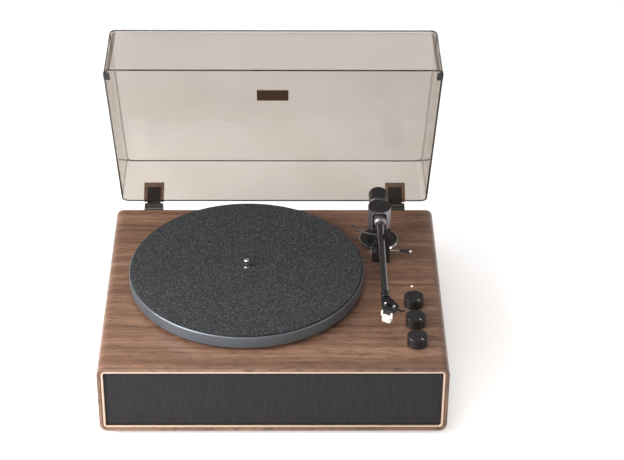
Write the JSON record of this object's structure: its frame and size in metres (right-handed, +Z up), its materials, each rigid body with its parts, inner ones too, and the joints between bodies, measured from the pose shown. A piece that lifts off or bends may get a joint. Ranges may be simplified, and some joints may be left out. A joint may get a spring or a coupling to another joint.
{
  "type": "record player",
  "caption": "Belt-driven record player in a wrapped wooden cabinet with front speakers, a straight tonearm, rotary knobs and a hinged clear cover.",
  "frame": {"origin": "centre of the cabinet's underside; the feet reach 6 mm below it", "axes": "+X to the player's right, +Y to its back, +Z up along the record spindle"},
  "size_m": [0.428, 0.413, 0.4238],
  "materials": {
    "walnut_veneer": "open-grain walnut veneer under satin lacquer",
    "champagne_trim": "champagne anodised extrusion",
    "grille_cloth": "woven speaker cloth on a backing frame",
    "fibreboard": "raw fibreboard",
    "black_steel": "black enamel on steel",
    "speaker_paper": "pressed paper with a rubber edge",
    "ferrite": "ground ferrite",
    "black_panel": "fine spark-eroded black moulding",
    "socket_metal": "nickel plated",
    "circuit_board": "green solder mask",
    "plain_steel": "turned steel",
    "lamp_lens": "milky lens",
    "black_rubber": "moulded rubber",
    "bearing_brass": "turned brass",
    "polished_steel": "polished steel",
    "black_moulding": "satin black moulding",
    "polished_chrome": "polished chrome plate",
    "smoked_acrylic": "clear smoked moulding, polished",
    "bronze_plate": "dark bronze plate, bare",
    "cast_aluminium": "turned casting",
    "felt_mat": "pressed felt, speckled charcoal",
    "satin_aluminium": "bead-blasted satin",
    "black_anodised": "satin black anodised plate",
    "black_lacquer": "gloss black lacquer on aluminium tube",
    "cartridge_shell": "satin black shell",
    "white_moulding": "white moulding",
    "weight_metal": "satin black on a steel slug",
    "rubbered_bar": "steel rod dipped in black rubber"
  },
  "bodies": {
    "cabinet": {"cabinet": "walnut_veneer", "trim_frame": "champagne_trim", "grille_panel": "grille_cloth", "speaker_baffle": "fibreboard", "speaker_frames": "black_steel", "speaker_cones": "speaker_paper", "speaker_magnets": "ferrite", "rear_panel": "black_panel", "line_out_sockets": "socket_metal", "aux_socket": "socket_metal", "power_socket": "black_panel", "amplifier_board": "circuit_board", "control_board": "circuit_board", "potentiometers": "plain_steel", "power_led": "lamp_lens", "feet": "black_rubber", "service_plate": "black_panel", "cabinet_screws": "plain_steel", "motor": "plain_steel", "motor_bracket": "plain_steel", "motor_isolators": "black_rubber", "drive_belt": "black_rubber", "bearing_bush": "bearing_brass", "thrust_ball": "polished_steel", "arm_base": "black_moulding", "arm_base_ring": "polished_chrome", "arm_rest": "black_moulding", "lift_housing": "black_moulding", "hinge_brackets": "black_steel", "hinge_pins": "plain_steel"},
    "cover": {"dust_cover": "smoked_acrylic", "cover_badge": "bronze_plate", "cover_bumpers": "black_rubber", "hinge_sockets": "smoked_acrylic", "hinge_blades": "black_steel"},
    "platter": {"platter": "cast_aluminium", "platter_mat": "felt_mat", "spindle": "polished_steel"},
    "drive_pulley": {"drive_pulley": "bearing_brass"},
    "volume_knob": {"volume_knob": "black_moulding"},
    "mode_knob": {"mode_knob": "black_moulding"},
    "speed_knob": {"speed_knob": "black_moulding"},
    "arm_yoke": {"arm_housing": "satin_aluminium", "housing_cap": "black_moulding", "swing_shaft": "plain_steel"},
    "tonearm": {"pivot_pin": "plain_steel", "arm_tube": "black_lacquer", "arm_collar": "satin_aluminium", "headshell": "black_anodised", "headshell_screws": "polished_steel", "cartridge": "cartridge_shell", "stylus_unit": "white_moulding"},
    "weight_sleeve": {"weight_sleeve": "black_moulding"},
    "counterweight": {"counterweight": "weight_metal"},
    "force_dial": {"force_dial": "black_moulding"},
    "rest_lock": {"rest_lock": "black_moulding"},
    "lift_bar": {"lift_bar": "rubbered_bar"},
    "cue_lever": {"cue_lever": "plain_steel", "cue_grip": "black_rubber"}
  },
  "joints": [
    {"name": "cover_hinge", "type": "hinge", "parent": "cabinet", "child": "cover", "pos_m": [0, 0.1856, 0.0922], "axis": [-1, 0, 0], "range_deg": [-61.9, 0]},
    {"name": "platter_spin", "type": "hinge", "parent": "cabinet", "child": "platter", "pos_m": [-0.035, 0.0104, 0.1], "axis": [0, 0, 1], "continuous": true},
    {"name": "pulley_spin", "type": "hinge", "parent": "cabinet", "child": "drive_pulley", "pos_m": [-0.109, 0.0846, 0.1], "axis": [0, 0, 1], "continuous": true},
    {"name": "volume_turn", "type": "hinge", "parent": "cabinet", "child": "volume_knob", "pos_m": [0.1767, -0.043, 0.1], "axis": [0, 0, -1], "range_deg": [-30, 270]},
    {"name": "mode_turn", "type": "hinge", "parent": "cabinet", "child": "mode_knob", "pos_m": [0.1767, -0.084, 0.1], "axis": [0, 0, -1], "range_deg": [-60, 60]},
    {"name": "speed_turn", "type": "hinge", "parent": "cabinet", "child": "speed_knob", "pos_m": [0.1767, -0.1246, 0.1], "axis": [0, 0, -1], "range_deg": [-45, 45]},
    {"name": "arm_swing", "type": "hinge", "parent": "cabinet", "child": "arm_yoke", "pos_m": [0.138, 0.101, 0.1385], "axis": [0, 0, -1], "range_deg": [0, 48]},
    {"name": "arm_lift", "type": "hinge", "parent": "arm_yoke", "child": "tonearm", "pos_m": [0.138, 0.101, 0.1385], "axis": [-1, 0, 0], "range_deg": [0, 2.6]},
    {"name": "lever_turn", "type": "hinge", "parent": "cabinet", "child": "cue_lever", "pos_m": [0.145, 0.06122, 0.1075], "axis": [-1, 0, 0], "range_deg": [0, 80]},
    {"name": "bar_rise", "type": "slide", "parent": "cabinet", "child": "lift_bar", "axis": [0, 0, 1], "range_m": [0, 0.0018]},
    {"name": "weight_travel", "type": "slide", "parent": "tonearm", "child": "weight_sleeve", "axis": [0, 1, 0], "range_m": [-0.0025, 0.0025]},
    {"name": "weight_turn", "type": "hinge", "parent": "weight_sleeve", "child": "counterweight", "pos_m": [0.138, 0.139, 0.1385], "axis": [0, 1, 0], "range_deg": [-360, 360]},
    {"name": "dial_turn", "type": "hinge", "parent": "counterweight", "child": "force_dial", "pos_m": [0.138, 0.125, 0.1385], "axis": [0, 1, 0], "range_deg": [-180, 180]},
    {"name": "lock_turn", "type": "hinge", "parent": "cabinet", "child": "rest_lock", "pos_m": [0.1478, 0.053, 0.144], "axis": [0, 0, 1], "range_deg": [-90, 0]}
  ],
  "couplings": [
    {"joint": "pulley_spin", "follows": "platter_spin", "ratio": 16.75},
    {"joint": "lever_turn", "follows": "arm_lift", "ratio": 30.76},
    {"joint": "bar_rise", "follows": "arm_lift", "m_per_rad": 0.03966},
    {"joint": "weight_travel", "follows": "weight_turn", "m_per_rad": 0.00039788}
  ]
}
